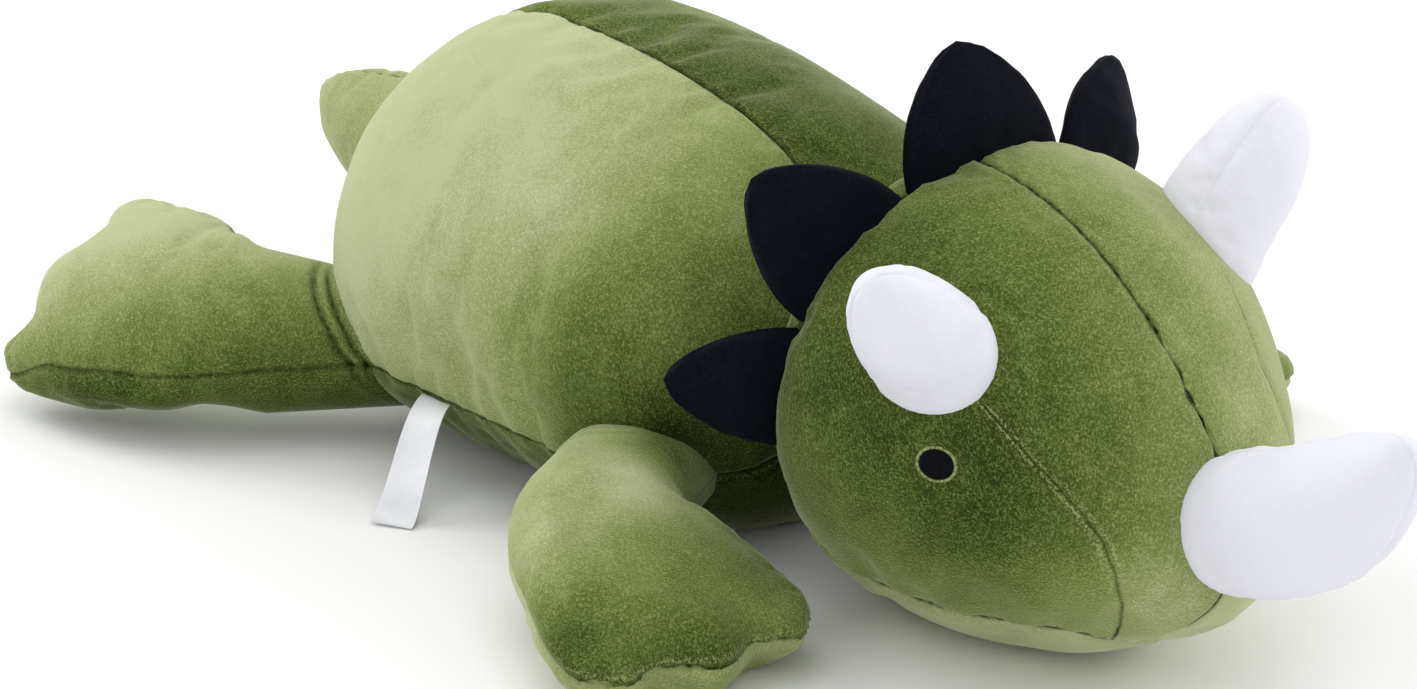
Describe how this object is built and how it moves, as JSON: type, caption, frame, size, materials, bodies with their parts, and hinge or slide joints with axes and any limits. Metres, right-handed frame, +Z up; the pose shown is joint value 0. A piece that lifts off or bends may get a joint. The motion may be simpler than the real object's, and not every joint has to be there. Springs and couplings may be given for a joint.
{
  "type": "stuffed dinosaur",
  "caption": "Lying plush dinosaur in green with white stuffed horns, a dark spiked frill, flipper feet, a short tail and a satin label.",
  "frame": {"origin": "middle of the flat of the belly, on the floor", "axes": "+X forward to the nose, +Y to the dinosaur's left, +Z up"},
  "size_m": [0.7421, 0.4785, 0.2417],
  "materials": {
    "green_plush": "matte",
    "dark_green_plush": "matte",
    "navy_plush": "matte",
    "white_plush": "matte",
    "white_satin": "satin",
    "black_thread": "matte",
    "stuffing": "matte"
  },
  "bodies": {
    "torso": {"body_right_panel": "green_plush", "body_left_panel": "green_plush", "body_belly_panel": "dark_green_plush", "body_stuffing": "stuffing", "neck_body_collar": "dark_green_plush"},
    "neck": {"neck_ball": "stuffing"},
    "head": {"neck_head_collar": "dark_green_plush", "head_right_panel": "green_plush", "head_left_panel": "green_plush", "head_chin_panel": "dark_green_plush", "head_back_right": "green_plush", "head_back_left": "green_plush", "head_stuffing": "stuffing", "eye_right": "black_thread", "eye_left": "black_thread", "nose_horn_right": "white_plush", "nose_horn_left": "white_plush", "nose_horn_stuffing": "stuffing", "brow_horn_right_front": "white_plush", "brow_horn_right_back": "white_plush", "brow_horn_right_stuffing": "stuffing", "brow_horn_left_front": "white_plush", "brow_horn_left_back": "white_plush", "brow_horn_left_stuffing": "stuffing"},
    "frill_right_low": {"frill_right_low_front": "navy_plush", "frill_right_low_back": "navy_plush", "frill_right_low_stuffing": "stuffing"},
    "frill_right_high": {"frill_right_high_front": "navy_plush", "frill_right_high_back": "navy_plush", "frill_right_high_stuffing": "stuffing"},
    "frill_top": {"frill_top_front": "navy_plush", "frill_top_back": "navy_plush", "frill_top_stuffing": "stuffing"},
    "frill_left_high": {"frill_left_high_front": "navy_plush", "frill_left_high_back": "navy_plush", "frill_left_high_stuffing": "stuffing"},
    "frill_left_low": {"frill_left_low_front": "navy_plush", "frill_left_low_back": "navy_plush", "frill_left_low_stuffing": "stuffing"},
    "foot_front_right": {"foot_front_right_top": "green_plush", "foot_front_right_sole": "dark_green_plush", "foot_front_right_stuffing": "stuffing"},
    "foot_front_left": {"foot_front_left_top": "green_plush", "foot_front_left_sole": "dark_green_plush", "foot_front_left_stuffing": "stuffing"},
    "foot_hind_right": {"foot_hind_right_top": "green_plush", "foot_hind_right_sole": "dark_green_plush", "foot_hind_right_stuffing": "stuffing"},
    "foot_hind_left": {"foot_hind_left_top": "green_plush", "foot_hind_left_sole": "dark_green_plush", "foot_hind_left_stuffing": "stuffing"},
    "tail": {"tail_right": "green_plush", "tail_left": "green_plush", "tail_stuffing": "stuffing"},
    "label": {"care_label": "white_satin"}
  },
  "joints": [
    {"name": "neck_turn", "type": "hinge", "parent": "torso", "child": "neck", "pos_m": [0.129, 0, 0.084], "axis": [0, 0, 1], "range_deg": [-12, 12], "stiffness_Nm_per_rad": 0.3},
    {"name": "neck_nod", "type": "hinge", "parent": "neck", "child": "head", "pos_m": [0.129, 0, 0.084], "axis": [-0.0872, -0.9962, 0], "range_deg": [0, 12]},
    {"name": "frill_right_low_flop", "type": "hinge", "parent": "head", "child": "frill_right_low", "pos_m": [0.16825, -0.10105, 0.10782], "axis": [0.0984, 0.0779, 0.9921], "range_deg": [-15, 15], "stiffness_Nm_per_rad": 0.02},
    {"name": "frill_right_high_flop", "type": "hinge", "parent": "head", "child": "frill_right_high", "pos_m": [0.17936, -0.0783, 0.16162], "axis": [0.2266, 0.6351, 0.7384], "range_deg": [-15, 15], "stiffness_Nm_per_rad": 0.02},
    {"name": "frill_top_flop", "type": "hinge", "parent": "head", "child": "frill_top", "pos_m": [0.19117, -0.01369, 0.19192], "axis": [0.0635, 0.9956, 0.0691], "range_deg": [-15, 15], "stiffness_Nm_per_rad": 0.02},
    {"name": "frill_left_high_flop", "type": "hinge", "parent": "head", "child": "frill_left_high", "pos_m": [0.18872, 0.05515, 0.17087], "axis": [-0.1092, 0.7543, -0.6473], "range_deg": [-15, 15], "stiffness_Nm_per_rad": 0.02},
    {"name": "frill_left_low_flop", "type": "hinge", "parent": "head", "child": "frill_left_low", "pos_m": [0.18366, 0.08635, 0.12129], "axis": [-0.0318, 0.2397, -0.9703], "range_deg": [-15, 15], "stiffness_Nm_per_rad": 0.02},
    {"name": "foot_front_right_lift", "type": "hinge", "parent": "torso", "child": "foot_front_right", "pos_m": [0.09098, -0.12953, 0.04483], "axis": [-0.8551, -0.5185, 0], "range_deg": [0, 30]},
    {"name": "foot_front_left_lift", "type": "hinge", "parent": "torso", "child": "foot_front_left", "pos_m": [0.09098, 0.12953, 0.04483], "axis": [0.8551, -0.5185, 0], "range_deg": [0, 30]},
    {"name": "foot_hind_right_lift", "type": "hinge", "parent": "torso", "child": "foot_hind_right", "pos_m": [-0.15409, -0.12726, 0.0505], "axis": [-0.838, 0.5456, 0], "range_deg": [0, 30]},
    {"name": "foot_hind_left_lift", "type": "hinge", "parent": "torso", "child": "foot_hind_left", "pos_m": [-0.15409, 0.12726, 0.0505], "axis": [0.838, 0.5456, 0], "range_deg": [0, 30]},
    {"name": "tail_wag", "type": "hinge", "parent": "torso", "child": "tail", "pos_m": [-0.18249, 0, 0.097], "axis": [0, 0, 1], "range_deg": [-14, 14], "stiffness_Nm_per_rad": 0.06},
    {"name": "label_lift", "type": "hinge", "parent": "torso", "child": "label", "pos_m": [-0.056, -0.11423, 0.03995], "axis": [-1, 0, 0], "range_deg": [0, 45]}
  ]
}
